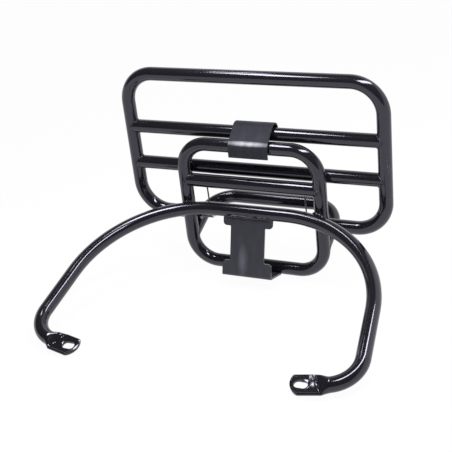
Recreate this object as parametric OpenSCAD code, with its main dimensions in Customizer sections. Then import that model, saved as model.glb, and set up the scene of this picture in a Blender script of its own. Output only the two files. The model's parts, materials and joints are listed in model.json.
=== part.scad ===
// Folding luggage rack for the back of a motor scooter, made of bent and welded round steel tube.
// A wide support arc bolts under the tail with two flattened, slotted ends. A leaning inner loop,
// a cross tube and a level rear loop are welded to it, and the rack frame folds on two hinge pins.
// Frame: millimetres, +Z up, X across, +Y to the rear. The origin is midway between the two
// slots, on the underside of the flattened ends.

/* [Tube] */
// outside diameter of every tube
tube_d = 16; // [14:0.5:18]
// wall of every tube
tube_wall = 1.5; // [1:0.1:2]

/* [Support arc] */
// straight length at the back of the arc
arc_flat = 87; // [70:1:110]
// centre line radius of the two big bends
arc_r = 134.6; // [120:0.2:150]
// angle of each big bend
arc_sweep = 84.3; // [80:0.1:88]
// straight length of each arm
arm_len = 60.5; // [45:0.5:80]
// centre line radius of each end bend
end_r = 35; // [28:0.5:38]
// angle of each end bend
end_bend = 84.2; // [80:0.2:88]

/* [Flattened ends] */
// distance between the two slot centres
slot_spacing = 264; // [256:0.5:268]
// width of a slot
slot_w = 9; // [6:0.5:11]
// length of a slot, end to end
slot_len = 14.5; // [12:0.5:18]
// thickness of a flattened end
tab_t = 3.2; // [2.4:0.2:5]
// width of a flattened end
tab_w = 24.5; // [22:0.5:28]
// flat length behind a slot centre
flat_len = 11; // [9:0.5:13]
// radius of the rounded nose
nose_r = 15.4; // [14.5:0.1:17]
// how far the nose's centre lies behind a slot centre
nose_back = 4.3; // [3:0.1:5]
// how far the nose's centre lies off the middle, to the rear
nose_side = 1.9; // [0:0.1:3]

/* [Leaning plane] */
// angle by which the rack and the inner loop lean back
lean = 17.75; // [10:0.25:25]
// height of the arc above the fold axis
pivot_drop = 28.8; // [24:0.2:34]
// clearance between the rack's tubes and the loop's tubes
tube_gap = 0.3; // [0.2:0.05:1]

/* [Inner loop] */
// width of the inner loop, centre line to centre line
loop_w = 167.6; // [150:0.2:180]
// distance of the loop's lower tube below the fold axis
loop_low = 54.8; // [46:0.2:64]
// distance of the loop's upper tube above the fold axis
loop_high = 99.2; // [92:0.2:104]
// centre line radius of the loop's corners
loop_r = 31.8; // [24:0.2:40]
// distance of the cross tube above the fold axis
cross_high = 52.1; // [46:0.2:56]
// diameter of the drain holes in the loop and the arc
drain_d = 4; // [3:0.5:5]

/* [Rear loop] */
// distance of the rear loop's end tube behind the fold axis
rear_reach = 49.1; // [44:0.2:54]
// centre line radius of the rear loop's corners
rear_r = 34; // [24:0.5:38]

/* [Rack frame] */
// width of the rack, centre line to centre line
rack_w = 311; // [280:1:340]
// height of the rack, centre line to centre line
rack_h = 176.4; // [160:0.2:200]
// centre line radius of the rack's corners
rack_r = 36; // [24:0.5:44]
// distance of the upper bar from the fold axis
bar_high = 109.8; // [106:0.2:116]
// distance of the lower bar from the fold axis
bar_low = 63; // [60:0.2:80]

/* [Hinges] */
// diameter of the hinge pins
pin_d = 6; // [5.5:0.5:8]
// clearance of the pins in their sleeves, on the radius
pin_play = 0.08; // [0.03:0.01:0.1]
// length of a hinge sleeve
sleeve_len = 16; // [12:0.5:20]
// gap between a sleeve and the rack's stub
stub_gap = 0.5; // [0.3:0.1:1.5]
// length of the pin's plug inside the stub
plug_len = 16; // [12:0.5:24]
// length of the pin inside the spring and its ring
pin_tail = 18.5; // [17:0.5:24]
// diameter of the retaining rings
ring_d = 10; // [9:0.5:12]
// thickness of the retaining rings
ring_t = 1.1; // [0.8:0.1:1.6]

/* [Return springs] */
// diameter of the spring wire
wire_d = 1.8; // [1.4:0.1:1.9]
// clearance between the coil and the pin
coil_play = 0.6; // [0.4:0.1:0.9]
// turns of the coil
coil_turns = 5.75; // [3.75:1:5.75]
// distance by which the spring's leg reaches past the cross tube's centre
leg_over = 3; // [1:0.5:4]

/* [Brace plate] */
// thickness of the brace plate
plate_t = 2.5; // [1.5:0.25:4]
// angle of the plate from upright, lower edge to the front
plate_lean = 36; // [28:0.5:38]
// angle below the horizontal at which the plate's upper edge meets the arc
plate_seat = 10; // [0:1:45]
// width of the plate at its ears and its foot
plate_w = 61.5; // [54:0.5:70]
// width of the plate's waist
waist_w = 42.5; // [34:0.5:48]
// height of the ears at the top
ear_h = 11.4; // [8:0.2:16]
// height of the wide foot
foot_h = 18.6; // [14:0.2:24]
// rounding of the plate's corners
plate_r = 4.5; // [2:0.25:5]
// height of the flange above the underside of the loop's lower tube
flange_rise = 2.4; // [2:0.1:4]

/* [Spring clip] */
// width of the clip
clip_w = 48; // [36:1:60]
// thickness of the clip's sheet
clip_t = 2; // [1.2:0.1:3]
// how far the clip's middle lies right of the rack's middle
clip_x = 4.5; // [0:0.5:12]
// angle that the clip is rolled round the upper bar
clip_wrap = 205; // [180:5:240]
// half of the space between the roll and the top of the upper bar
clip_lift = 1.8; // [0:0.1:2.5]
// space between the clip and the loop's upper tube
clip_play = 2; // [0.3:0.1:3]
// angle of the lip from the leaning plane
lip_flare = 0; // [-5:0.5:20]
// length of the lip
lip_len = 9.5; // [6:0.5:20]

/* [Build] */
// which piece to draw

/* [Hidden] */
$fn = 96;
eps = 0.01;
lap = 0.4;                                    // overlap where a straight runs into a bend
hair = 0.04;                                  // a straight lies this far inside a bend's skin
tube_id = tube_d - 2 * tube_wall;
gap = tube_d + tube_gap;                      // rack plane to loop plane
// support arc, seen from above: angle turned at the end of the arm and at the end of the tube
arm_a = arc_sweep;
end_a = arc_sweep + end_bend;
arm_x = arc_flat / 2 + arc_r * sin(arm_a);
arm_f = arc_r * (1 - cos(arm_a));
bend_x = arm_x + arm_len * cos(arm_a) + end_r * (sin(end_a) - sin(arm_a));
bend_f = arm_f + arm_len * sin(arm_a) + end_r * (cos(arm_a) - cos(end_a));
tab_run = (bend_x - slot_spacing / 2) / -cos(end_a);
arc_y = bend_f + tab_run * sin(end_a);        // back of the arc behind the slots
arc_z = tab_t / 2;
// the arc rests on the front of the loop's legs: offset of its back from the rack plane
seat_n = max(concat(
    [arc_flat > loop_w ? gap + tube_d : 0],
    [for (t = [0:0.5:60])
        let (dx = arc_flat / 2 + arc_r * sin(t) - loop_w / 2)
        abs(dx) < tube_d
            ? gap + sqrt(tube_d * tube_d - dx * dx) - cos(lean) * arc_r * (1 - cos(t)) : 0]));
pivot_y = arc_y + (seat_n - pivot_drop * sin(lean)) / cos(lean);
pivot_z = arc_z - pivot_drop;
// hinges
sleeve_d = 2 * (gap - tube_d / 2);
sleeve_bore = pin_d + 2 * pin_play;
sleeve_in = loop_w / 2 - sleeve_len / 2;
sleeve_out = loop_w / 2 + sleeve_len / 2;
stub_x = sleeve_out + stub_gap;
ring_groove_d = pin_d - 1.6;
ring_play = 0.1;
pin_end = sleeve_in - pin_tail;
ring_x = pin_end + 2;
// springs
coil_r = pin_d / 2 + coil_play + wire_d / 2;
coil_out = sleeve_in - wire_d / 2 - 0.4;
coil_in = ring_x + ring_t + ring_play + wire_d / 2 + 0.3;
tang_hole = wire_d + 0.4;
leg_end = cross_high + leg_over;
// loop and rear loop
rear_z = pivot_z - gap;
rear_y = pivot_y + rear_reach;
leg_y = pivot_y - gap * (1 + sin(lean)) / cos(lean);
// clip: sheet line from the upper bar to the loop's upper tube, angles seen from the left side
roll_c = [0, bar_high + clip_lift];
roll_rad = tube_d / 2 + clip_lift;
top_c = [-gap, loop_high];
top_rad = tube_d / 2 + clip_play;
span = norm(top_c - roll_c);
sheet_a = atan2(top_c[1] - roll_c[1], top_c[0] - roll_c[0]) + 360 - asin((top_rad - roll_rad) / span);
sheet_len = (top_c - roll_c) * [cos(sheet_a), sin(sheet_a)];
lip_a = 270 - lip_flare;

steel_black = [0.05, 0.05, 0.06];
sheet_black = [0.10, 0.10, 0.11];
spring_grey = [0.35, 0.35, 0.37];
zinc_grey = [0.55, 0.56, 0.58];

// Helpers

// the leaning plane: X across, Y to the back across the plane, Z up along it, from the fold axis
module leaning() {
    translate([0, pivot_y, pivot_z])
        rotate([-lean, 0, 0])
            children();
}

// both sides, the second one mirrored
module both() {
    children();
    mirror([1, 0, 0])
        children();
}

// round bar along X between two stations
module along_x(x0, x1, d) {
    translate([x0, 0, 0])
        rotate([0, 90, 0])
            cylinder(d = d, h = x1 - x0);
}

// round bar along +Y
module along_y(y0, y1, d) {
    translate([0, y0, 0])
        rotate([-90, 0, 0])
            cylinder(d = d, h = y1 - y0);
}

// straights between two bends, nested a hair inside the bends' skin
module straight_x(x0, x1, d) {
    along_x(x0 - lap, x1 + lap, d - 2 * hair);
}

module straight_y(y0, y1, d) {
    along_y(y0 - lap, y1 + lap, d - 2 * hair);
}

// bend of a round bar in the XY plane about its centre, from angle a0 to a1
module bend(r, a0, a1, d) {
    rotate([0, 0, a0])
        rotate_extrude(angle = a1 - a0)
            translate([r, 0])
                circle(d = d);
}

// closed rounded loop in the XY plane, from y0 to y1
module ring_loop(w, y0, y1, r, d) {
    both() {
        translate([w / 2, 0, 0])
            straight_y(y0 + r, y1 - r, d);
        translate([w / 2 - r, y1 - r, 0])
            bend(r, 0, 90, d);
        translate([w / 2 - r, y0 + r, 0])
            bend(r, -90, 0, d);
    }
    for (y = [y0, y1])
        translate([0, y, 0])
            straight_x(r - w / 2, w / 2 - r, d);
}

// open loop in the XY plane: one far side at y1 and two legs that start at leg0
module u_loop(w, y1, r, d, leg0) {
    both() {
        translate([w / 2, 0, 0])
            straight_y(leg0, y1 - r, d);
        translate([w / 2 - r, y1 - r, 0])
            bend(r, 0, 90, d);
    }
    translate([0, y1, 0])
        straight_x(r - w / 2, w / 2 - r, d);
}

// path of the support arc up to the end bends
module arc_path(d) {
    translate([0, arc_y, 0])
        straight_x(-arc_flat / 2, arc_flat / 2, d);
    both() {
        translate([arc_flat / 2, arc_y - arc_r, 0])
            bend(arc_r, 90 - arm_a, 90, d);
        translate([arm_x, arc_y - arm_f, 0])
            rotate([0, 0, -90 - arm_a])
                straight_y(0, arm_len, d);
        translate([arm_x + arm_len * cos(arm_a) - end_r * sin(arm_a),
                   arc_y - arm_f - arm_len * sin(arm_a) - end_r * cos(arm_a), 0])
            bend(end_r, 90 - end_a, 90 - arm_a, d);
    }
}

// the two round sides of a pressed tube's oval section, thin slices at station x
module oval_sides(x, w, t) {
    for (s = [-1, 1])
        translate([x, s * (w - t) / 2, 0])
            rotate([0, 90, 0])
                cylinder(d = t, h = eps, $fn = 32);
}

// flattened end of the arc: wedge from the round tube to the flat tongue, nose towards +X
module flat_end() {
    wedge = tab_run - flat_len;
    stations = [[-tab_run - lap, tube_d - 2 * hair, tube_d - 2 * hair],
                [-tab_run + wedge * 0.36, tube_d + (tab_w - tube_d) * 0.34, tube_d * 0.72],
                [-tab_run + wedge * 0.72, tube_d + (tab_w - tube_d) * 0.76, tab_t + tube_d * 0.12],
                [-flat_len, tab_w, tab_t]];
    for (i = [0:2])
        hull() {
            oval_sides(stations[i][0], stations[i][1], stations[i][2]);
            oval_sides(stations[i + 1][0], stations[i + 1][1], stations[i + 1][2]);
        }
    intersection() {
        translate([-flat_len, 0, 0]) {
            translate([0, -(tab_w - tab_t) / 2, -tab_t / 2])
                cube([2 * nose_r, tab_w - tab_t, tab_t]);
            for (s = [-1, 1])
                translate([0, s * (tab_w - tab_t) / 2, 0])
                    along_x(0, 2 * nose_r, tab_t);
        }
        union() {
            translate([-nose_back, -nose_side, -tab_t])
                cylinder(r = nose_r, h = 2 * tab_t);
            translate([-flat_len - 1, -tab_w, -tab_t])
                cube([flat_len - nose_back + 1, 2 * tab_w, 2 * tab_t]);
        }
    }
}

// slot along X through a flattened end
module slot() {
    reach = (slot_len - slot_w) / 2;
    for (s = [-1, 1])
        translate([s * reach, 0, -tab_t])
            cylinder(d = slot_w, h = 2 * tab_t);
    translate([-reach, -slot_w / 2, -tab_t])
        cube([2 * reach, slot_w, 2 * tab_t]);
}

// wire swept along a list of points that never run along X for long
module wire(pts, d, sides = 8) {
    n = len(pts);
    rings = [for (i = [0:n - 1])
        let (t0 = pts[min(i + 1, n - 1)] - pts[max(i - 1, 0)],
             t = t0 / norm(t0),
             u0 = [1, 0, 0] - t[0] * t,
             u = u0 / norm(u0),
             v = cross(t, u))
        for (k = [0:sides - 1])
            pts[i] + d / 2 * (cos(360 * k / sides) * u + sin(360 * k / sides) * v)];
    sides_f = [for (i = [0:n - 2])
        for (k = [0:sides - 1])
            let (m = (k + 1) % sides)
            [i * sides + k, (i + 1) * sides + k, (i + 1) * sides + m, i * sides + m]];
    cap0 = [[for (k = [0:sides - 1]) k]];
    cap1 = [[for (k = [sides - 1:-1:0]) (n - 1) * sides + k]];
    polyhedron(points = rings, faces = concat(cap0, sides_f, cap1), convexity = 8);
}

// Welded support

module support_arc() {
    color(steel_black)
        difference() {
            translate([0, 0, arc_z]) {
                difference() {
                    arc_path(tube_d);
                    arc_path(tube_id);
                }
                both()
                    translate([slot_spacing / 2, 0, 0])
                        rotate([0, 0, -end_a])
                            flat_end();
            }
            translate([arc_flat / 2 - drain_d, arc_y, arc_z - tube_d])
                cylinder(d = drain_d, h = tube_d);
            both()
                translate([slot_spacing / 2, 0, arc_z])
                    slot();
        }
}

module inner_loop() {
    color(steel_black)
        leaning()
            translate([0, -gap, 0])
                rotate([90, 0, 0])
                    difference() {
                        ring_loop(loop_w, -loop_low, loop_high, loop_r, tube_d);
                        ring_loop(loop_w, -loop_low, loop_high, loop_r, tube_id);
                        translate([loop_w / 2 - loop_r - drain_d, -loop_low, 0])
                            rotate([90, 0, 0])
                                cylinder(d = drain_d, h = tube_d);
                    }
}

module inner_cross_tube() {
    color(steel_black)
        leaning()
            translate([0, -gap, cross_high])
                difference() {
                    along_x(-loop_w / 2, loop_w / 2, tube_d);
                    along_x(-loop_w / 2, loop_w / 2, tube_id);
                    for (s = [-1, 1])
                        translate([s * loop_w / 2, 0, -tube_d])
                            cylinder(d = tube_d, h = 2 * tube_d);
                }
}

module rear_support_loop() {
    color(steel_black)
        difference() {
            translate([0, 0, rear_z])
                difference() {
                    u_loop(loop_w, rear_y, rear_r, tube_d, leg_y + 1);
                    u_loop(loop_w, rear_y, rear_r, tube_id, leg_y - 1);
                }
            leaning()
                for (s = [-1, 1])
                    translate([s * loop_w / 2, -gap, -loop_low + loop_r - tube_d])
                        cylinder(d = tube_d, h = loop_low - loop_r + 2 * tube_d);
        }
}

// sheet plate with ears at the top, a waist and a wide foot that is folded back under the loop
module brace_plate() {
    weld_y = arc_y - tube_d / 2 * cos(plate_seat);
    weld_z = arc_z - tube_d / 2 * sin(plate_seat);
    // length to the outer fold line, so that the flange lies against the loop's lower tube
    low_y = pivot_y - gap * cos(lean) - loop_low * sin(lean);
    low_z = pivot_z + gap * sin(lean) - loop_low * cos(lean);
    plate_len = (weld_y - low_y) * sin(plate_lean) + (weld_z - low_z) * cos(plate_lean)
        + tube_d / 2 + plate_t - flange_rise;
    // length of the flange from the fold, so that its end meets the front of that tube
    flange_len = (low_y - weld_y) * cos(plate_lean) - (low_z - weld_z) * sin(plate_lean) - tube_d / 4;
    color(sheet_black)
        difference() {
            // local frame: Z up along the plate, Y through it to the back, front face at y = 0
            translate([0, weld_y, weld_z])
                rotate([-plate_lean, 0, 0]) {
                    rounded_sheet(plate_w, -ear_h, 0, false);
                    rounded_sheet(plate_w, -plate_len + plate_t, -plate_len + foot_h, true);
                    translate([-waist_w / 2, 0, -plate_len + foot_h / 2])
                        cube([waist_w, plate_t, plate_len - foot_h / 2 - ear_h / 2]);
                    // flange and its fold
                    translate([-plate_w / 2, plate_t, -plate_len])
                        cube([plate_w, flange_len - plate_t, plate_t]);
                    intersection() {
                        translate([0, plate_t, -plate_len + plate_t])
                            along_x(-plate_w / 2, plate_w / 2, 2 * plate_t);
                        translate([-plate_w / 2, 0, -plate_len])
                            cube([plate_w, plate_t, plate_t]);
                    }
                }
            translate([0, arc_y, arc_z])
                along_x(-plate_w, plate_w, tube_d);
            translate([0, low_y, low_z])
                along_x(-plate_w, plate_w, tube_d);
        }
}

// rectangle of sheet from z0 to z1 with two rounded corners, at its top or at its bottom
module rounded_sheet(w, z0, z1, at_top) {
    translate([0, plate_t, 0])
        rotate([90, 0, 0])
            linear_extrude(plate_t) {
                cut = at_top ? z1 - plate_r : z0 + plate_r;
                translate([-w / 2, at_top ? z0 : cut])
                    square([w, z1 - z0 - plate_r]);
                translate([-w / 2 + plate_r, z0])
                    square([w - 2 * plate_r, z1 - z0]);
                for (s = [-1, 1])
                    translate([s * (w / 2 - plate_r), cut])
                        circle(r = plate_r);
            }
}

module hinge_sleeve() {
    color(steel_black)
        leaning()
            difference() {
                along_x(sleeve_in, sleeve_out, sleeve_d);
                along_x(sleeve_in - 1, sleeve_out + 1, sleeve_bore);
            }
}

// torsion spring round a pin: tang in the pin, coil, and a leg up to the back of the cross tube
module return_spring() {
    steps = 16;
    last = coil_turns * steps;
    rest_n = gap - tube_d / 2 - wire_d / 2;
    start_a = 180 + coil_turns * 360;
    coil = [for (i = [1:last])
        let (a = start_a - i * 360 / steps,
             x = coil_out + (coil_in - coil_out) * i / last)
        [x, coil_r * cos(a), coil_r * sin(a)]];
    tang = [[coil_out, 0, pin_d / 2 - 1.6], [coil_out, 0, coil_r - wire_d / 2]];
    leg = [[coil_in, -coil_r - (rest_n - coil_r) * 0.1, cross_high * 0.1],
           [coil_in, -rest_n, cross_high],
           [coil_in, -rest_n, leg_end]];
    color(spring_grey)
        leaning()
            wire(concat(tang, coil, leg), wire_d);
}

// Folding rack

module rack_path(d, x_in) {
    u_loop(rack_w, rack_h, rack_r, d, rack_r);
    both() {
        translate([rack_w / 2 - rack_r, rack_r, 0])
            bend(rack_r, -90, 0, d);
        along_x(x_in, rack_w / 2 - rack_r + lap, d - 2 * hair);
    }
}

module rack_frame() {
    color(steel_black)
        leaning()
            rotate([90, 0, 0])
                difference() {
                    rack_path(tube_d, stub_x);
                    rack_path(tube_id, stub_x - 1);
                }
}

module rack_bar(high) {
    color(steel_black)
        leaning()
            translate([0, 0, high])
                difference() {
                    along_x(-rack_w / 2, rack_w / 2, tube_d);
                    along_x(-rack_w / 2, rack_w / 2, tube_id);
                    for (s = [-1, 1])
                        translate([s * rack_w / 2, 0, -tube_d])
                            cylinder(d = tube_d, h = 2 * tube_d);
                }
}

// turned pin: plug in the rack's stub, shank through the sleeve, groove and a hole for the tang
module hinge_pin() {
    color(zinc_grey)
        leaning()
            difference() {
                union() {
                    along_x(stub_x, stub_x + plug_len, tube_id - 2 * hair);
                    along_x(pin_end, stub_x + eps, pin_d);
                }
                difference() {
                    along_x(ring_x - ring_play, ring_x + ring_t + ring_play, pin_d + 1);
                    along_x(ring_x - 1, ring_x + ring_t + 1, ring_groove_d);
                }
                translate([coil_out, 0, pin_d / 2 - 2])
                    cylinder(d = tang_hole, h = pin_d);
            }
}

module retaining_ring() {
    color(spring_grey)
        leaning()
            difference() {
                along_x(ring_x, ring_x + ring_t, ring_d);
                along_x(ring_x - 1, ring_x + ring_t + 1, ring_groove_d);
                translate([ring_x - 1, -ring_groove_d * 0.42, -ring_d])
                    cube([ring_t + 2, ring_groove_d * 0.84, ring_d]);
            }
}

// sheet clip: rolled round the upper bar, flat over the loop's upper tube, bent down in front
module spring_clip() {
    color(sheet_black)
        leaning()
            translate([clip_x - clip_w / 2, 0, 0])
                rotate([90, 0, 90]) {
                    translate([roll_c[0], roll_c[1], 0]) {
                        rotate([0, 0, sheet_a - 90 - clip_wrap])
                            rotate_extrude(angle = clip_wrap)
                                translate([roll_rad, 0])
                                    square([clip_t, clip_w]);
                        rotate([0, 0, sheet_a])
                            translate([-lap, -roll_rad - clip_t + hair, hair])
                                cube([sheet_len + 2 * lap, clip_t - 2 * hair, clip_w - 2 * hair]);
                    }
                    translate([top_c[0], top_c[1], 0]) {
                        rotate([0, 0, sheet_a - 90])
                            rotate_extrude(angle = lip_a - sheet_a)
                                translate([top_rad, 0])
                                    square([clip_t, clip_w]);
                        rotate([0, 0, lip_a])
                            translate([-lap, -top_rad - clip_t + hair, hair])
                                cube([lip_len + lap, clip_t - 2 * hair, clip_w - 2 * hair]);
                    }
                }
}

support_arc();
inner_loop();
inner_cross_tube();
rear_support_loop();
brace_plate();
mirror([1, 0, 0]) hinge_sleeve();  // hinge_sleeve_left
hinge_sleeve();  // hinge_sleeve_right
mirror([1, 0, 0]) return_spring();  // return_spring_left
return_spring();  // return_spring_right
rack_frame();
rack_bar(bar_high);  // rack_bar_upper
rack_bar(bar_low);  // rack_bar_lower
mirror([1, 0, 0]) hinge_pin();  // hinge_pin_left
hinge_pin();  // hinge_pin_right
mirror([1, 0, 0]) retaining_ring();  // retaining_ring_left
retaining_ring();  // retaining_ring_right
spring_clip();
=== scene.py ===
import json
import math
import random

import bmesh
import bpy
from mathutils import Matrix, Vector


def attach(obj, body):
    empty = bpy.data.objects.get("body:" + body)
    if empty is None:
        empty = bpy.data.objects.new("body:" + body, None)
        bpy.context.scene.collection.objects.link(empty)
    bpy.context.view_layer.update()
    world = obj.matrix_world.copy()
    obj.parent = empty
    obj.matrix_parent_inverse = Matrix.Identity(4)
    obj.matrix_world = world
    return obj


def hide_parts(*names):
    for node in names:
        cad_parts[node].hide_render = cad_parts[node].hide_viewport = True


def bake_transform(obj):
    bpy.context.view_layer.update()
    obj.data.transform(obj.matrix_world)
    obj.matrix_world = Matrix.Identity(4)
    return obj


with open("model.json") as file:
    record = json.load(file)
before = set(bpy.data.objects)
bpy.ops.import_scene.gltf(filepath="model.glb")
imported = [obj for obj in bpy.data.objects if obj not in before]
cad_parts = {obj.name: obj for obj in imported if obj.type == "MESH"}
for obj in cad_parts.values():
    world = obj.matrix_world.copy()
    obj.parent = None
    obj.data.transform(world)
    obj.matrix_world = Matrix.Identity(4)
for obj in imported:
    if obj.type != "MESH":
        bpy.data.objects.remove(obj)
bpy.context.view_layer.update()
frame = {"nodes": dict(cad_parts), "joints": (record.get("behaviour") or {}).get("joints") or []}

MM = 0.001
R = 8.0                      # outside radius of every tube
GAP = 16.3                   # rack plane to loop plane
LEAN = math.radians(17.75)
SIN, COS = math.sin(LEAN), math.cos(LEAN)
LOOP_W, LOOP_LOW, LOOP_HIGH, LOOP_R, CROSS = 167.6, 54.8, 99.2, 31.8, 52.1
RACK_W, RACK_H, RACK_R, BAR_HIGH, BAR_LOW = 311.0, 176.4, 36.0, 109.8, 63.0
REAR_REACH, REAR_R = 49.1, 34.0
ARC_FLAT, ARC_R, ARC_SWEEP, ARM, END_R, END_BEND = 87.0, 134.6, 84.3, 60.5, 35.0, 84.2
SLOT_X, SLOT_W, SLOT_LEN = 132.0, 9.0, 14.5
TAB_T, TAB_W, NOSE_R, NOSE_BACK, NOSE_SIDE = 3.2, 24.5, 15.4, 4.3, 1.9
CREASE_X, CREASE_SKEW, WEDGE = -14.8, 0.47, 28.5

ARM_A = math.radians(ARC_SWEEP)
END_A = math.radians(ARC_SWEEP + END_BEND)
ARM_X = ARC_FLAT / 2 + ARC_R * math.sin(ARM_A)
ARM_F = ARC_R * (1 - math.cos(ARM_A))
BEND_X = ARM_X + ARM * math.cos(ARM_A) + END_R * (math.sin(END_A) - math.sin(ARM_A))
BEND_F = ARM_F + ARM * math.sin(ARM_A) + END_R * (math.cos(ARM_A) - math.cos(END_A))
BACK_STEPS, BEND_STEPS, ARM_STEPS, END_STEPS, RUN_STEPS = 8, 60, 10, 36, 24
RUN = (BEND_X - SLOT_X) / -math.cos(END_A)
ARC_Y = BEND_F + RUN * math.sin(END_A)
ARC_Z = TAB_T / 2

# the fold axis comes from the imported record, so that the looks sit on the CAD frame
PIVOT = [j for j in frame["joints"] if j["name"] == "rack_fold"][0]["pos_m"]
PY, PZ = PIVOT[1] / MM, PIVOT[2] / MM
REAR_Y, REAR_Z = PY + REAR_REACH, PZ - GAP
LEG_Y = PY - GAP * (1 + SIN) / COS


def lean_point(x, n, s):
    """Row-frame point of the leaning plane: n to the front and s up along it, from the fold axis."""
    return Vector((x, PY - n * COS + s * SIN, PZ + n * SIN + s * COS))


# mesh helpers

# edges sharper than this stay hard
SMOOTH_TO, ARC_SMOOTH_TO = math.radians(40), math.radians(24)

def add_mesh(name, verts, faces, material, body, replaces=()):
    """A smooth piece on a body; a tuple (first body, second body, start, end) in its place is not used, and
    the piece stays unattached in the row frame.
    """
    mesh = bpy.data.meshes.new(name)
    mesh.from_pydata([Vector(v) * MM for v in verts], [], faces)
    bm = bmesh.new()
    bm.from_mesh(mesh)
    bmesh.ops.recalc_face_normals(bm, faces=bm.faces)
    bm.to_mesh(mesh)
    bm.free()
    obj = bpy.data.objects.new(name, mesh)
    bpy.context.scene.collection.objects.link(obj)
    mesh.materials.append(material)
    for p in mesh.polygons:
        p.use_smooth = True
    mesh.set_sharp_from_angle(angle=SMOOTH_TO)
    if isinstance(body, tuple):
        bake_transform(obj)
    else:
        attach(obj, body)
    if replaces:
        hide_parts(*replaces)
    return obj


def sweep(points, normal, radius, closed=False, sides=40):
    """Vertices and faces of a round bar along points that lie in a plane with this normal."""
    n = len(points)
    normal = Vector(normal).normalized()
    verts, faces = [], []
    for i, p in enumerate(points):
        a = points[i - 1] if (i > 0 or closed) else points[0]
        b = points[(i + 1) % n] if (i < n - 1 or closed) else points[-1]
        t = (Vector(b) - Vector(a)).normalized()
        side = normal.cross(t).normalized()
        up = t.cross(side)
        for k in range(sides):
            w = 2 * math.pi * k / sides
            verts.append(Vector(p) + radius * (math.cos(w) * side + math.sin(w) * up))
    for i in range(n if closed else n - 1):
        j = (i + 1) % n
        for k in range(sides):
            m = (k + 1) % sides
            faces.append((i * sides + k, i * sides + m, j * sides + m, j * sides + k))
    if not closed:
        faces.append(tuple(reversed(range(sides))))
        faces.append(tuple((n - 1) * sides + k for k in range(sides)))
    return verts, faces


def arc_points(cx, cy, r, a0, a1, steps):
    return [(cx + r * math.cos(math.radians(a0 + (a1 - a0) * i / steps)),
             cy + r * math.sin(math.radians(a0 + (a1 - a0) * i / steps))) for i in range(steps + 1)]


def rounded_loop(w, y0, y1, r, steps=24):
    h = w / 2 - r
    pts = arc_points(h, y1 - r, r, 0, 90, steps) + arc_points(-h, y1 - r, r, 90, 180, steps)
    pts += arc_points(-h, y0 + r, r, 180, 270, steps) + arc_points(h, y0 + r, r, 270, 360, steps)
    return pts


def rope(points, radii, sides):
    """A round rope along any points in space, carried along without twist."""
    verts, faces, up = [], [], None
    n = len(points)
    for i, (p, q) in enumerate(zip(points, radii)):
        t = (points[min(i + 1, n - 1)] - points[max(i - 1, 0)]).normalized()
        if up is None:
            up = t.orthogonal().normalized()
        up = (up - up.dot(t) * t).normalized()
        side = up.cross(t)
        for k in range(sides):
            w = 2 * math.pi * k / sides
            verts.append(p + q * (math.cos(w) * side + math.sin(w) * up))
    for i in range(n - 1):
        for k in range(sides):
            m = (k + 1) % sides
            faces.append((i * sides + k, i * sides + m, (i + 1) * sides + m, (i + 1) * sides + k))
    faces.append(tuple(reversed(range(sides))))
    faces.append(tuple((n - 1) * sides + k for k in range(sides)))
    return verts, faces


def bead(points, r, seed, ripple=0.16, sides=10):
    """A weld bead: a thin rippled rope along points, pressed a little into the joint."""
    rnd = random.Random(seed)
    dense = []
    for a, b in zip(points, points[1:]):
        a, b = Vector(a), Vector(b)
        k = max(1, int((b - a).length / 0.45))
        dense += [a.lerp(b, i / k) for i in range(k)]
    dense.append(Vector(points[-1]))
    phase = rnd.random() * 6
    radii = []
    run, last = 0.0, dense[0]
    for i, p in enumerate(dense):
        run += (p - last).length
        last = p
        fade = min(1.0, 0.35 + i / 5, 0.35 + (len(dense) - 1 - i) / 5)
        radii.append(r * fade * (1 + ripple * math.sin(run * 3.4 + phase) + 0.08 * (rnd.random() - 0.5)))
    return rope(dense, radii, sides)


def join_lists(parts):
    verts, faces = [], []
    for v, f in parts:
        k = len(verts)
        verts += list(v)
        faces += [tuple(i + k for i in q) for q in f]
    return verts, faces


# materials

def principled(name, color, rough, metallic=0.0, level=0.5, tint=(1, 1, 1)):
    mat = bpy.data.materials.new(name)
    mat.use_nodes = True
    b = mat.node_tree.nodes["Principled BSDF"]
    b.inputs["Base Color"].default_value = (*color, 1)
    b.inputs["Roughness"].default_value = rough
    b.inputs["Metallic"].default_value = metallic
    b.inputs["Specular IOR Level"].default_value = level
    b.inputs["Specular Tint"].default_value = (*tint, 1)
    return mat, b


def add_bump(mat, target, scale, strength, distance, detail=2.0):
    t = mat.node_tree
    co = t.nodes.new("ShaderNodeTexCoord")
    noise = t.nodes.new("ShaderNodeTexNoise")
    noise.inputs["Scale"].default_value = scale
    noise.inputs["Detail"].default_value = detail
    bump = t.nodes.new("ShaderNodeBump")
    bump.inputs["Strength"].default_value = strength
    bump.inputs["Distance"].default_value = distance
    t.links.new(co.outputs["Object"], noise.inputs["Vector"])
    t.links.new(noise.outputs["Fac"], bump.inputs["Height"])
    t.links.new(bump.outputs["Normal"], target)


def vary(mat, socket, scale, low, high):
    """A socket, a number or a grey tone, that wanders between two values over the surface."""
    t = mat.node_tree
    co = t.nodes.new("ShaderNodeTexCoord")
    noise = t.nodes.new("ShaderNodeTexNoise")
    noise.inputs["Scale"].default_value = scale
    ramp = t.nodes.new("ShaderNodeMapRange")
    ramp.inputs["From Min"].default_value = 0.3
    ramp.inputs["From Max"].default_value = 0.7
    ramp.inputs["To Min"].default_value = low
    ramp.inputs["To Max"].default_value = high
    t.links.new(co.outputs["Object"], noise.inputs["Vector"])
    t.links.new(noise.outputs["Fac"], ramp.inputs["Value"])
    t.links.new(ramp.outputs[0], socket)


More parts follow.
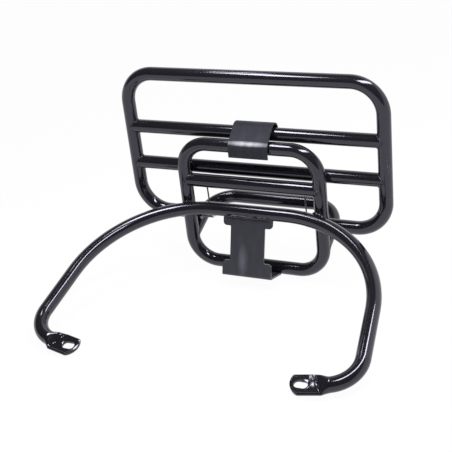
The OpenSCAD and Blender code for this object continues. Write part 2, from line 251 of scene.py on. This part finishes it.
def gloss_black():
    mat, b = principled("gloss_black_paint", (0.009, 0.009, 0.012), 0.10, level=0.75, tint=(0.84, 0.82, 1.0))
    vary(mat, b.inputs["Roughness"], 60, 0.085, 0.115)
    add_bump(mat, b.inputs["Normal"], 40, 0.04, 0.0006, detail=0.0)
    return mat


def streaks(mat, base, pale, scale, amount, spot):
    """Faint streaks in a sheet's colour, up to amount; spot (centre, reach) is a paler place, in metres,
    which on the clip is a painted highlight along the bend.
    """
    t = mat.node_tree
    co = t.nodes.new("ShaderNodeTexCoord")
    stretch = t.nodes.new("ShaderNodeMapping")
    stretch.inputs["Scale"].default_value = scale
    noise = t.nodes.new("ShaderNodeTexNoise")
    noise.inputs["Scale"].default_value = 1.0
    noise.inputs["Detail"].default_value = 3.0
    ramp = t.nodes.new("ShaderNodeMapRange")
    ramp.inputs["From Min"].default_value = 0.45
    ramp.inputs["From Max"].default_value = 0.80
    ramp.inputs["To Max"].default_value = amount
    t.links.new(co.outputs["Object"], stretch.inputs["Vector"])
    t.links.new(stretch.outputs["Vector"], noise.inputs["Vector"])
    t.links.new(noise.outputs["Fac"], ramp.inputs["Value"])
    place = t.nodes.new("ShaderNodeMapping")
    place.vector_type = "TEXTURE"
    place.inputs["Location"].default_value = spot[0]
    place.inputs["Scale"].default_value = spot[1]
    ball = t.nodes.new("ShaderNodeTexGradient")
    ball.gradient_type = "SPHERICAL"
    t.links.new(co.outputs["Object"], place.inputs["Vector"])
    t.links.new(place.outputs["Vector"], ball.inputs["Vector"])
    # the pale spot, broken up by noise; on the clip it is a painted highlight along the bend
    spot_mottle = math_node(t, "MULTIPLY_ADD", noise.outputs["Fac"], 1.2, 0.2)
    fac = math_node(t, "MULTIPLY_ADD", ball.outputs["Fac"], spot_mottle, ramp.outputs[0])
    mix = t.nodes.new("ShaderNodeMix")
    mix.data_type = "RGBA"
    mix.inputs["A"].default_value = (*base, 1)
    mix.inputs["B"].default_value = (*pale, 1)
    t.links.new(fac, mix.inputs["Factor"])
    t.links.new(mix.outputs["Result"], t.nodes["Principled BSDF"].inputs["Base Color"])


def math_node(tree, op, a, b=None, c=None):
    """One Math node; every input is a number or another node's output."""
    node = tree.nodes.new("ShaderNodeMath")
    node.operation = op
    for i, v in enumerate((a, b, c)):
        if v is None:
            continue
        if isinstance(v, (int, float)):
            node.inputs[i].default_value = v
        else:
            tree.links.new(v, node.inputs[i])
    return node.outputs[0]


def satin_black(name, base, pale, rough, level, scale, amount, spot):
    mat, b = principled(name, base, rough, level=level, tint=(0.84, 0.82, 1.0))
    streaks(mat, base, pale, scale, amount, spot)
    add_bump(mat, b.inputs["Normal"], 40, 0.10, 0.0012, detail=1.0)
    return mat


BLACK = gloss_black()
WIRE, b = principled("spring_wire", (0.10, 0.10, 0.11), 0.3, metallic=0.9)
vary(WIRE, b.inputs["Base Color"], 300, 0.07, 0.14)
add_bump(WIRE, b.inputs["Normal"], 900, 0.2, 0.0001)
PLATED, b = principled("plated_steel", (0.50, 0.50, 0.52), 0.28, metallic=1.0)
vary(PLATED, b.inputs["Base Color"], 150, 0.42, 0.58)
vary(PLATED, b.inputs["Roughness"], 220, 0.22, 0.36)

# support arc with its pressed ends

def arc_half():
    """The right half from the middle of the back to the flat's start: (point, tangent, length)."""
    out, run = [], 0.0
    for i in range(BACK_STEPS + 1):
        x = ARC_FLAT / 2 * i / BACK_STEPS
        out.append((Vector((x, ARC_Y, ARC_Z)), Vector((1, 0, 0)), x))
    run = ARC_FLAT / 2
    for i in range(1, BEND_STEPS + 1):
        a = ARM_A * i / BEND_STEPS
        p = Vector((ARC_FLAT / 2 + ARC_R * math.sin(a), ARC_Y - ARC_R * (1 - math.cos(a)), ARC_Z))
        out.append((p, Vector((math.cos(a), -math.sin(a), 0)), run + ARC_R * a))
    run += ARC_R * ARM_A
    start, t = out[-1][0], out[-1][1]
    for i in range(1, ARM_STEPS + 1):
        out.append((start + t * ARM * i / ARM_STEPS, t, run + ARM * i / ARM_STEPS))
    run += ARM
    start = out[-1][0]
    c = start + END_R * Vector((-math.sin(ARM_A), -math.cos(ARM_A), 0))
    for i in range(1, END_STEPS + 1):
        a = ARM_A + (END_A - ARM_A) * i / END_STEPS
        p = c + END_R * Vector((math.sin(a), math.cos(a), 0))
        out.append((p, Vector((math.cos(a), -math.sin(a), 0)), run + END_R * (a - ARM_A)))
    run += END_R * (END_A - ARM_A)
    start, t = out[-1][0], out[-1][1]
    reach = RUN + CREASE_X
    for i in range(1, RUN_STEPS + 1):
        out.append((start + t * reach * i / RUN_STEPS, t, run + reach * i / RUN_STEPS))
    return out


def section(w, h, sides):
    """Points (across, up) of an oval with flat faces, width w and height h."""
    a, b = w / 2, h / 2
    pts = []
    for k in range(sides):
        th = 2 * math.pi * k / sides
        y = a * math.cos(th)
        over = max(0.0, abs(y) - (a - b))
        pts.append((y, math.copysign(math.sqrt(max(0.0, b * b - over * over)), math.sin(th))))
    return pts


def bell(x, width):
    return math.exp(-(x / width) ** 2)


# marks of the press: a domed core, a dent with banks at the crease, a knob, and a dish round the slot
CORE_Y, CORE_HALF = -3.5, 8.5
DENT_U, DENT_SKEW, DENT_DEPTH, DENT_WIDTH, DENT_FILL = 16.0, 0.3, 1.25, 1.15, 1.6
BANK_U, BANK_HEIGHT, BANK_FADE = 7.5, 0.9, 12
KNOB_U, KNOB_Y, KNOB_HEIGHT, KNOB_WIDTH = 20, -9, 0.8, 4.5
DISH_REACH, DISH_DEPTH = 2.4, 0.30


def relief(u, y):
    """What the press left on top of an end, in mm; u runs outwards from the slot centre, y to the front."""
    core = max(0.0, 1 - ((y - CORE_Y) / CORE_HALF) ** 2)
    crease = DENT_U + DENT_SKEW * y
    z = -DENT_DEPTH * bell(u - crease, DENT_WIDTH) * min(1.0, DENT_FILL * core)
    if BANK_U < u <= crease:
        z += BANK_HEIGHT * (u - BANK_U) / (crease - BANK_U) * core
    elif crease < u < crease + BANK_FADE:
        z += BANK_HEIGHT * (1 - (u - crease) / BANK_FADE) * core
    z += KNOB_HEIGHT * bell(math.hypot(u - KNOB_U, y - KNOB_Y), KNOB_WIDTH)
    reach = SLOT_LEN / 2 - SLOT_W / 2
    d = math.hypot(max(0.0, abs(u) - reach), y) - SLOT_W / 2
    if d < DISH_REACH:
        z -= DISH_DEPTH * (1 - max(0.0, d) / DISH_REACH) ** 2
    return z


def rim(q):
    """The rounded bank along a tongue's outer edge, q mm from it."""
    return 0.35 * bell(q - 1.5, 0.9)


def support_arc():
    half = arc_half()
    total = half[-1][2]
    press = WEDGE + CREASE_X            # the pressing starts in the end of the bend
    sides = 128
    verts, faces = [], []
    rows = []
    for p, t, l in half:
        e = max(0.0, 1 - (total - l) / press)
        g = 0.5 * e + 0.5 * e * e * (3 - 2 * e)
        h = 2 * R + (TAB_T - 2 * R) * g
        peri = math.pi * 2 * R * (1 - e) + (2 * (TAB_W - TAB_T) + math.pi * TAB_T) * e
        w = (peri - math.pi * h) / 2 + h
        across = Vector((0, 0, 1)).cross(t)     # at the ends it points to the front
        row = []
        for y, z in section(w, h, sides):
            if e > 0 and z > 0:
                u = -CREASE_X + total - l + CREASE_SKEW * y * e
                z += (relief(u, y) + rim(w / 2 - abs(y)) * e) * min(1.0, z / (0.4 * h))
            row.append(p + across * y + Vector((0, 0, z)) - t * CREASE_SKEW * y * e)
        rows.append(row)
    # the flat tongue: every row runs from the slanting crease to the rounded nose
    slot_c = Vector((SLOT_X, 0, ARC_Z))
    t = half[-1][1]
    across = Vector((0, 0, 1)).cross(t)
    flat = section(TAB_W, TAB_T, sides)
    steps = 36
    for i in range(1, steps + 1):
        row = []
        for y, z in flat:
            x0 = CREASE_X - CREASE_SKEW * y
            x1 = -NOSE_BACK + math.sqrt(max(0.0, NOSE_R ** 2 - (y + NOSE_SIDE) ** 2))
            x = x0 + (x1 - x0) * i / steps
            if z > 0:
                z += (relief(-x, y) + rim(min(TAB_W / 2 - abs(y), x1 - x))) * min(1.0, z / (0.4 * TAB_T))
            row.append(slot_c + across * y + t * x + Vector((0, 0, z)))
        rows.append(row)
    mirror = [[Vector((-v.x, v.y, v.z)) for v in row] for row in rows[:0:-1]]
    allrows = mirror + rows
    for row in allrows:
        verts += row
    m = len(allrows)
    for i in range(m - 1):
        for k in range(sides):
            j = (k + 1) % sides
            faces.append((i * sides + k, (i + 1) * sides + k, (i + 1) * sides + j, i * sides + j))
    # close the two noses: upper edge to lower edge
    for base in (0, (m - 1) * sides):
        for k in range(sides // 2):
            q = [base + k, base + k + 1, base + (sides - k - 1) % sides, base + (sides - k) % sides]
            faces.append(tuple(v for i, v in enumerate(q) if v not in q[:i]))
    return verts, faces


def slot_cutter(x):
    h = SLOT_LEN / 2 - SLOT_W / 2
    out = []
    for cx, a0 in ((h, -90), (-h, 90)):
        out += [(x + cx + SLOT_W / 2 * math.cos(math.radians(a0 + 180 * i / 24)),
                 SLOT_W / 2 * math.sin(math.radians(a0 + 180 * i / 24))) for i in range(25)]
    n = len(out)
    verts = [(a, b, -6) for a, b in out] + [(a, b, 9) for a, b in out]
    faces = [tuple(reversed(range(n))), tuple(range(n, 2 * n))]
    faces += [(i, (i + 1) % n, (i + 1) % n + n, i + n) for i in range(n)]
    return verts, faces


def cut_slots(obj):
    mesh = bpy.data.meshes.new("slot_cutter")
    v, f = join_lists([slot_cutter(SLOT_X), slot_cutter(-SLOT_X)])
    mesh.from_pydata([Vector(p) * MM for p in v], [], f)
    cutter = bpy.data.objects.new("slot_cutter", mesh)
    bpy.context.scene.collection.objects.link(cutter)
    mod = obj.modifiers.new("slots", "BOOLEAN")
    mod.operation = "DIFFERENCE"
    mod.solver = "EXACT"
    mod.object = cutter
    bpy.context.view_layer.update()
    done = bpy.data.meshes.new_from_object(obj.evaluated_get(bpy.context.evaluated_depsgraph_get()))
    obj.modifiers.clear()
    obj.data = done
    bpy.data.objects.remove(cutter)
    for p in obj.data.polygons:
        p.use_smooth = True
    obj.data.set_sharp_from_angle(angle=ARC_SMOOTH_TO)


v, f = support_arc()
arc = add_mesh("arc_tube", v, f, BLACK, "support", ["support_arc"])
cut_slots(arc)

# loops, bars and the rack frame

plane_normal = lean_point(0, 1, 0) - lean_point(0, 0, 0)


def leaning_path(pts, n):
    return [lean_point(x, n, s) for x, s in pts]


loop = leaning_path(rounded_loop(LOOP_W, -LOOP_LOW, LOOP_HIGH, LOOP_R), GAP)
v, f = sweep(loop, plane_normal, R, closed=True)
add_mesh("loop_tube", v, f, BLACK, "support", ["inner_loop"])
v, f = sweep([lean_point(-LOOP_W / 2, GAP, CROSS), lean_point(LOOP_W / 2, GAP, CROSS)], plane_normal, R)
add_mesh("cross_tube", v, f, BLACK, "support", ["inner_cross_tube"])

h = LOOP_W / 2 - REAR_R
rear = [(LOOP_W / 2, LEG_Y)] + arc_points(h, REAR_Y - REAR_R, REAR_R, 0, 90, 24)
rear += arc_points(-h, REAR_Y - REAR_R, REAR_R, 90, 180, 24) + [(-LOOP_W / 2, LEG_Y)]
v, f = sweep([Vector((x, y, REAR_Z)) for x, y in rear], (0, 0, 1), R)
add_mesh("rear_loop_tube", v, f, BLACK, "support", ["rear_support_loop"])

h = RACK_W / 2 - RACK_R
STUB = LOOP_W / 2 + 8.5
rack = [(STUB, 0)] + arc_points(h, RACK_R, RACK_R, 270, 360, 24)
rack += arc_points(h, RACK_H - RACK_R, RACK_R, 0, 90, 24)
rack += [(-x, s) for x, s in reversed(rack)]
v, f = sweep(leaning_path(rack, 0), plane_normal, R)
add_mesh("rack_tube", v, f, BLACK, "rack", ["rack_frame"])
for name, s, node in (("upper_bar", BAR_HIGH, "rack_bar_upper"), ("lower_bar", BAR_LOW, "rack_bar_lower")):
    v, f = sweep([lean_point(-RACK_W / 2, 0, s), lean_point(RACK_W / 2, 0, s)], plane_normal, R)
    add_mesh(name, v, f, BLACK, "rack", [node])

# weld beads

RING_STEPS, SEAT_R = 48, 6.2

def saddle(side, w, n0, s0):
    """Where a bar along X meets a tube of the same size that stands at x = side * w / 2."""
    pts = []
    for i in range(RING_STEPS + 1):
        a = 2 * math.pi * i / RING_STEPS
        x = side * (w / 2 - R * abs(math.sin(a)))
        pts.append(lean_point(x, n0 + R * math.cos(a), s0 + R * math.sin(a)))
    return pts


beads = [bead(saddle(side, RACK_W, 0, s), 0.8, 10 * i + side)
         for i, s in enumerate((BAR_HIGH, BAR_LOW)) for side in (-1, 1)]
v, f = join_lists(beads)
add_mesh("rack_welds", v, f, BLACK, "rack")


def seat_ring(side):
    """A ring in the valley round the point where the arc touches a leg of the inner loop."""
    leg = (lean_point(side * LOOP_W / 2, GAP, 1) - lean_point(side * LOOP_W / 2, GAP, 0)).normalized()
    base = lean_point(side * LOOP_W / 2, GAP, 0)
    best = None
    for p, t, l in arc_half():
        q = Vector((side * p.x, p.y, p.z))
        foot = base + leg * (q - base).dot(leg)
        d = (q - foot).length
        if best is None or d < best[0]:
            best = (d, q, Vector((side * t.x, t.y, 0)), foot)
    _, q, t, foot = best
    out = (foot - q).normalized()
    mid = (q + foot) / 2
    pts = []
    for i in range(RING_STEPS + 1):
        a = 2 * math.pi * i / RING_STEPS
        u, w = SEAT_R * math.cos(a), SEAT_R * math.sin(a)
        pts.append(mid + t * u + leg * w + out * ((u * u - w * w) / (4 * R)))
    return pts


beads = [bead(saddle(side, LOOP_W, GAP, CROSS), 1.0, 40 + side) for side in (-1, 1)]
beads += [bead(seat_ring(side), 1.9, 60 + side) for side in (-1, 1)]
for side in (-1, 1):
    ring = []
    for i in range(RING_STEPS + 1):
        a = 2 * math.pi * i / RING_STEPS
        z = REAR_Z + R * math.sin(a)
        n = GAP - R * abs(math.sin(a))
        ring.append(Vector((side * LOOP_W / 2 + R * math.cos(a), PY - (n - (z - PZ) * SIN) / COS, z)))
    beads.append(bead(ring, 0.6, 50 + side))
v, f = join_lists(beads)
add_mesh("support_welds", v, f, BLACK, "support")

# brace plate

PLATE_T, PLATE_W, WAIST_W, EAR_H, FOOT_H, PLATE_R = 2.5, 61.5, 42.5, 11.4, 18.6, 4.5
EAR_TOP_R, WAIST_R, FOLD_START = 2.5, 1.2, 0.3
PLATE_LEAN, PLATE_SEAT, FLANGE_RISE = math.radians(36), math.radians(10), 2.4
WELD_Y, WELD_Z = ARC_Y - R * math.cos(PLATE_SEAT), ARC_Z - R * math.sin(PLATE_SEAT)
LOW = lean_point(0, GAP, -LOOP_LOW)
PLATE_LEN = ((WELD_Y - LOW.y) * math.sin(PLATE_LEAN) + (WELD_Z - LOW.z) * math.cos(PLATE_LEAN)
             + R + PLATE_T - FLANGE_RISE)
FLANGE = (LOW.y - WELD_Y) * math.cos(PLATE_LEAN) - (LOW.z - WELD_Z) * math.sin(PLATE_LEAN) - R / 2


def plate_point(x, depth, up):
    """Row-frame point of the plate: depth behind its front face, and up along it from its top."""
    c, d = math.cos(PLATE_LEAN), math.sin(PLATE_LEAN)
    return Vector((x, WELD_Y + depth * c + up * d, WELD_Z - depth * d + up * c))


def prism(outline, front, back):
    n = len(outline)
    verts = [plate_point(x, front, z) for x, z in outline] + [plate_point(x, back, z) for x, z in outline]
    faces = [tuple(range(n)), tuple(reversed(range(n, 2 * n)))]
    faces += [(i, i + n, (i + 1) % n + n, (i + 1) % n) for i in range(n)]
    return verts, faces


def plate_outline():
    """Right half from the top middle down to the fold's start, then mirrored."""
    w, q, r, g = PLATE_W / 2, WAIST_W / 2, PLATE_R, WAIST_R
    low = -PLATE_LEN + FOOT_H
    half = arc_points(w - EAR_TOP_R, -EAR_TOP_R, EAR_TOP_R, 90, 0, 5)
    half += arc_points(w - r, -EAR_H + r, r, 0, -90, 8)
    half += arc_points(q + g, -EAR_H - g, g, 90, 180, 4)
    half += arc_points(q + g, low + g, g, 180, 270, 4)
    half += arc_points(w - r, low - r, r, 90, 0, 8)
    half.append((w, -PLATE_LEN + PLATE_T))
    return half + [(-x, z) for x, z in reversed(half)]


def strip_solid(path, t, x0, x1, to_point):
    """A bent sheet drawn along X: path lists (a, b, angle of the normal), and t is its thickness."""
    n = len(path)
    verts = []
    for x in (x0, x1):
        verts += [to_point(x, a, b) for a, b, w in path]
        verts += [to_point(x, a + t * math.cos(w), b + t * math.sin(w)) for a, b, w in path]
    faces = []
    for i in range(n - 1):
        faces.append((i, i + 1, 2 * n + i + 1, 2 * n + i))
        faces.append((n + i, 3 * n + i, 3 * n + i + 1, n + i + 1))
        faces.append((i, n + i, n + i + 1, i + 1))
        faces.append((2 * n + i, 2 * n + i + 1, 3 * n + i + 1, 3 * n + i))
    faces += [(0, 2 * n, 3 * n, n), (n - 1, 2 * n - 1, 4 * n - 1, 3 * n - 1)]
    return verts, faces


def soften(obj, width):
    bevel = obj.modifiers.new("bevel", "BEVEL")
    bevel.width = width * MM
    bevel.segments = 2
    bevel.limit_method = "ANGLE"
    bevel.angle_limit = math.radians(50)
    bevel.harden_normals = False


# a paler place on the plate's front, low and left of the middle, mottled in the sheet's colour
PLATE_PALE_SPOT = (plate_point(-5, 0, -52) * MM, (0.007, 0.018, 0.026))
PLATE_BLACK = satin_black("satin_black_plate", (0.038, 0.038, 0.047), (0.15, 0.15, 0.19), 0.26, 0.6,
                          (160, 30, 30), 0.10, PLATE_PALE_SPOT)
# known defect: the nine inner points of the fold coincide, which leaves faces without area
fold = [(PLATE_T, -PLATE_LEN + PLATE_T + FOLD_START, math.pi)]
for i in range(9):
    fold.append((PLATE_T, -PLATE_LEN + PLATE_T, math.pi + math.pi / 2 * i / 8))
fold.append((FLANGE, -PLATE_LEN + PLATE_T, 1.5 * math.pi))
v, f = prism(plate_outline(), 0, PLATE_T)
v, f = join_lists([(v, f), strip_solid(fold, PLATE_T, -PLATE_W / 2, PLATE_W / 2, plate_point)])
plate = add_mesh("plate_sheet", v, f, PLATE_BLACK, "support", ["brace_plate"])
soften(plate, 0.35)

PLATE_WELD = 27                 # half the length of the plate's welds
span = range(-PLATE_WELD, PLATE_WELD + 1)
top = [plate_point(x, -0.5 + 0.2 * math.sin(x * 0.55), 0.2 + 0.3 * math.sin(x * 0.4)) for x in span]
foot = [plate_point(x, FLANGE - 0.4, -PLATE_LEN + PLATE_T + 0.6) for x in span]
beads = [bead(top, 2.0, 71, ripple=0.12), bead(foot, 1.3, 72)]
v, f = join_lists(beads)
add_mesh("plate_welds", v, f, BLACK, "support")

# spring clip

CLIP_W, CLIP_T, CLIP_X, CLIP_LIFT, CLIP_PLAY, LIP_LEN = 48.0, 2.0, 4.5, 1.8, 2.0, 9.5
CLIP_WRAP = math.radians(205)
WRAP_STEPS, TOP_STEPS = 48, 24
ROLL = (0.0, BAR_HIGH + CLIP_LIFT)
ROLL_R = R + CLIP_LIFT
TOP = (-GAP, LOOP_HIGH)
TOP_R = R + CLIP_PLAY
SPAN = math.hypot(TOP[0] - ROLL[0], TOP[1] - ROLL[1])
SHEET_A = math.atan2(TOP[1] - ROLL[1], TOP[0] - ROLL[0]) + 2 * math.pi - math.asin((TOP_R - ROLL_R) / SPAN)
# a painted highlight: the pale tone (0.80, 0.80, 0.90) laid as a thin band along the clip's bend over the
# loop's top tube
CLIP_BEND_HIGHLIGHT = (lean_point(CLIP_X, GAP + 9.2, LOOP_HIGH + 7.7) * MM, (0.034, 0.0036, 0.0036))
CLIP_BLACK = satin_black("satin_black_clip", (0.031, 0.032, 0.041), (0.80, 0.80, 0.90), 0.40, 0.08,
                         (160, 60, 60), 0.015, CLIP_BEND_HIGHLIGHT)
clip = []
for i in range(WRAP_STEPS + 1):
    w = SHEET_A - math.pi / 2 - CLIP_WRAP * (1 - i / WRAP_STEPS)
    clip.append((ROLL[0] + ROLL_R * math.cos(w), ROLL[1] + ROLL_R * math.sin(w), w))
for i in range(TOP_STEPS + 1):
    w = SHEET_A - math.pi / 2 + (1.5 * math.pi - SHEET_A) * i / TOP_STEPS
    clip.append((TOP[0] + TOP_R * math.cos(w), TOP[1] + TOP_R * math.sin(w), w))
clip.append((TOP[0] - TOP_R, TOP[1] - LIP_LEN, math.pi))
v, f = strip_solid(clip, CLIP_T, CLIP_X - CLIP_W / 2, CLIP_X + CLIP_W / 2,
                   lambda x, a, b: lean_point(x, -a, b))
sheet = add_mesh("clip_sheet", v, f, CLIP_BLACK, "rack", ["spring_clip"])
soften(sheet, 0.4)

# scuffs on the frame's right side

SCUFF_SINK = 0.02               # how deep a mark's middle lies under the surface
SCUFF, b = principled("scuffed_paint", (0.20, 0.20, 0.22), 0.5)
vary(SCUFF, b.inputs["Base Color"], 700, 0.08, 0.30)


def scuff(points):
    """A hair-thin mark on the right side tube; points are (angle from outwards to the front, s)."""
    r = R - SCUFF_SINK
    pts = [lean_point(RACK_W / 2 + r * math.cos(math.radians(a)), r * math.sin(math.radians(a)), s)
           for a, s in points]
    return bead(pts, 0.13, int(points[0][1]), ripple=0.5, sides=6)


MARKS = (((58, 86), (55, 81), (53, 76)), ((42, 80), (47, 75), (52, 73)), ((38, 84), (39, 79)),
         ((52, 45), (46, 42), (41, 43)), ((60, 92), (59, 89)))
marks = [scuff(points) for points in MARKS]
v, f = join_lists(marks)
add_mesh("rack_scuffs", v, f, SCUFF, "rack")

# return springs

WIRE_R, COIL_R, COIL_TURNS, COIL_OUT, COIL_IN = 0.9, 4.5, 5.75, 74.5, 61.7
COIL_STEPS = 48                 # points for each turn of the coil
LEG_N, LEG_TOP = 7.4, CROSS + 3
# the tang's points, (n, s) from the pin's axis
TANG = ((0, 1.4), (0, 2.4), (0, 3.2), (-0.15, 3.8), (-0.6, 4.3), (-1.15, 4.38))


def spring_path(side):
    """From the tang in the pin's hole, round the coil and up the straight leg to the cross tube."""
    at = [(COIL_OUT, n, s) for n, s in TANG]
    steps = int(COIL_TURNS * COIL_STEPS)
    for i in range(4, steps + 1):
        a = math.radians(90 - i * 360 / COIL_STEPS)
        at.append((COIL_OUT + (COIL_IN - COIL_OUT) * i / steps, -COIL_R * math.cos(a), COIL_R * math.sin(a)))
    knee, rise = COIL_R + (LEG_N - COIL_R) * 0.1, CROSS * 0.1
    at += [(COIL_IN, COIL_R + (knee - COIL_R) * k / 6, rise * k / 6) for k in range(1, 7)]
    at += [(COIL_IN, knee + (LEG_N - knee) * k / 12, rise + (CROSS - rise) * k / 12) for k in range(1, 13)]
    at.append((COIL_IN, LEG_N, LEG_TOP))
    return [lean_point(side * x, n, s) for x, n, s in at]


for side, word in ((-1, "left"), (1, "right")):
    path = spring_path(side)
    v, f = rope(path, [WIRE_R] * len(path), 14)
    start, end = [Vector((side * x, PY, PZ)) * MM for x in (COIL_IN + 1, COIL_OUT - 1)]
    add_mesh("spring_" + word, v, f, WIRE, ("support", "rack", start, end),
             ["return_spring_" + word])

# CAD pieces that keep their shape and get a material

for side in ("left", "right"):
    for piece, mat in (("hinge_sleeve_", BLACK), ("hinge_pin_", PLATED), ("retaining_ring_", PLATED)):
        obj = frame["nodes"][piece + side]
        obj.data.materials.clear()
        obj.data.materials.append(mat)

# stage, lights, camera

# the rack rests on its loop and its two ends, so the floor drops with those from the ends to the loop
FLOOR_DROP, FLOOR_RUN, FLOOR_HALF = 83.5, 221.0, 4
FLOOR_PLACE = (0, -0.012, -0.004)
FLOOR_WHITE = 0.965             # how much of the floor the camera and the reflections see as plain white
STUDIO_R, STUDIO_DARK, STUDIO_PALE, STUDIO_EDGE = 7.0, 0.10, 0.95, 0.12
STRIP_Z = 0.75
CAMERA_LENS = 77.9175
CAMERA_PLACE = (0.42163, -0.50692, 0.76771)
CAMERA_TURN = (46.0885, 12.4410, 20.3938)

floor_mesh = bpy.data.meshes.new("floor")
floor_mesh.from_pydata([(x * FLOOR_HALF, y * FLOOR_HALF, 0) for x, y in ((-1, -1), (1, -1), (1, 1), (-1, 1))],
                       [], [(0, 1, 2, 3)])
floor = bpy.data.objects.new("floor", floor_mesh)
bpy.context.scene.collection.objects.link(floor)
floor.rotation_euler = (-math.atan2(FLOOR_DROP, FLOOR_RUN), 0, 0)
floor.location = FLOOR_PLACE
mat, b = principled("floor_white", (0.86, 0.86, 0.86), 0.8)
t = mat.node_tree
lp = t.nodes.new("ShaderNodeLightPath")
mix = t.nodes.new("ShaderNodeMixShader")
em = t.nodes.new("ShaderNodeEmission")
em.inputs["Strength"].default_value = 1.0
mirrored = math_node(t, "MAXIMUM", lp.outputs["Is Glossy Ray"], lp.outputs["Is Transmission Ray"])
seen = math_node(t, "MAXIMUM", lp.outputs["Is Camera Ray"], mirrored)
t.links.new(math_node(t, "MULTIPLY", seen, FLOOR_WHITE), mix.inputs[0])
t.links.new(b.outputs[0], mix.inputs[1])
t.links.new(em.outputs[0], mix.inputs[2])
t.links.new(mix.outputs[0], t.nodes["Material Output"].inputs[0])
floor_mesh.materials.append(mat)

world = bpy.data.worlds.new("white")
bpy.context.scene.world = world
world.use_nodes = True
bg = world.node_tree.nodes["Background"]
bg.inputs["Color"].default_value = (1, 1, 1, 1)
bg.inputs["Strength"].default_value = 1.0

# the studio round the set: a pale wall to the rear, and dark above and in front; the camera looks through it
bm = bmesh.new()
bmesh.ops.create_uvsphere(bm, u_segments=64, v_segments=32, radius=STUDIO_R)
bmesh.ops.reverse_faces(bm, faces=bm.faces)
studio_mesh = bpy.data.meshes.new("studio")
bm.to_mesh(studio_mesh)
bm.free()
studio = bpy.data.objects.new("studio", studio_mesh)
bpy.context.scene.collection.objects.link(studio)
studio.visible_camera = False
mat = bpy.data.materials.new("studio_walls")
mat.use_nodes = True
mat.cycles.emission_sampling = "NONE"
studio_mesh.materials.append(mat)
t = mat.node_tree
t.nodes.remove(t.nodes["Principled BSDF"])
em = t.nodes.new("ShaderNodeEmission")
co = t.nodes.new("ShaderNodeTexCoord")
unit = t.nodes.new("ShaderNodeVectorMath")
unit.operation = "NORMALIZE"
xyz = t.nodes.new("ShaderNodeSeparateXYZ")
t.links.new(co.outputs["Object"], unit.inputs[0])
t.links.new(unit.outputs[0], xyz.inputs[0])
rear = math_node(t, "MULTIPLY_ADD", xyz.outputs[0], 0.34, math_node(t, "MULTIPLY", xyz.outputs[1], 0.94))
edge = math_node(t, "SUBTRACT", math_node(t, "MULTIPLY_ADD", rear, 0.5, 0.25), xyz.outputs[2])
ramp = t.nodes.new("ShaderNodeMapRange")
ramp.interpolation_type = "SMOOTHSTEP"
ramp.inputs["From Min"].default_value = -STUDIO_EDGE
ramp.inputs["From Max"].default_value = STUDIO_EDGE
ramp.inputs["To Min"].default_value = STUDIO_DARK
ramp.inputs["To Max"].default_value = STUDIO_PALE
t.links.new(edge, ramp.inputs["Value"])
t.links.new(ramp.outputs[0], em.inputs["Strength"])
t.links.new(em.outputs[0], t.nodes["Material Output"].inputs[0])


def strip(name, start, end, width, radiance):
    """A strip light between two points, facing down, with the given radiance."""
    a, b = Vector(start), Vector(end)
    lamp = bpy.data.lights.new(name, "AREA")
    lamp.shape = "RECTANGLE"
    lamp.size, lamp.size_y = width, (b - a).length
    lamp.energy = radiance * math.pi * lamp.size * lamp.size_y
    obj = bpy.data.objects.new(name, lamp)
    bpy.context.scene.collection.objects.link(obj)
    obj.location = (a + b) / 2
    obj.rotation_euler = (0, 0, math.atan2(b.y - a.y, b.x - a.x) - math.pi / 2)


strip("strip_left", (-0.14, 0.16, STRIP_Z), (-0.275, 0.385, STRIP_Z), 0.13, 22)
strip("strip_left_rear", (-0.27, 0.54, STRIP_Z), (-0.31, 0.62, STRIP_Z), 0.12, 17)
strip("strip_right", (0.18, 0.02, STRIP_Z), (0.60, 0.85, STRIP_Z), 0.15, 19)

cam_data = bpy.data.cameras.new("camera")
cam_data.sensor_width = 36
cam_data.lens = CAMERA_LENS
camera = bpy.data.objects.new("camera", cam_data)
bpy.context.scene.collection.objects.link(camera)
camera.location = CAMERA_PLACE
camera.rotation_euler = [math.radians(a) for a in CAMERA_TURN]
bpy.context.scene.camera = camera
bpy.context.scene.view_settings.view_transform = "Standard"
